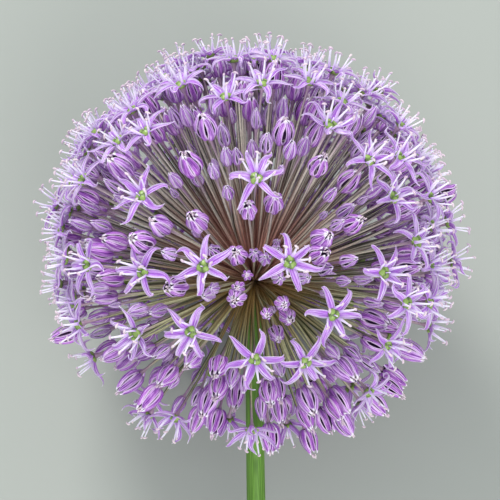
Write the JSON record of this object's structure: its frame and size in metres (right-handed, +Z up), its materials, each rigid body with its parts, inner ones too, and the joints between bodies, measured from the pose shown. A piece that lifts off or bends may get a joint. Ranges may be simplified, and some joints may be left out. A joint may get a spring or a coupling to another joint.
{
  "type": "allium flower head",
  "caption": "Ball-shaped allium flower head, cut with its scape and lying on its side, with open star florets, half-open florets and buds on long stalks.",
  "frame": {"origin": "middle of the underside of the part's box, on the surface that it lies on", "axes": "+Z up from the surface, +Y from the scape's cut end towards the head, +X to the right seen from above with the head away"},
  "size_m": [0.17, 0.2996, 0.1605],
  "materials": {
    "scape": "smooth, waxy, satin plant stem",
    "florets": "soft matte petals, lilac with darker midribs"
  },
  "bodies": {
    "root": {"scape": "scape", "umbel": "florets"}
  },
  "joints": []
}
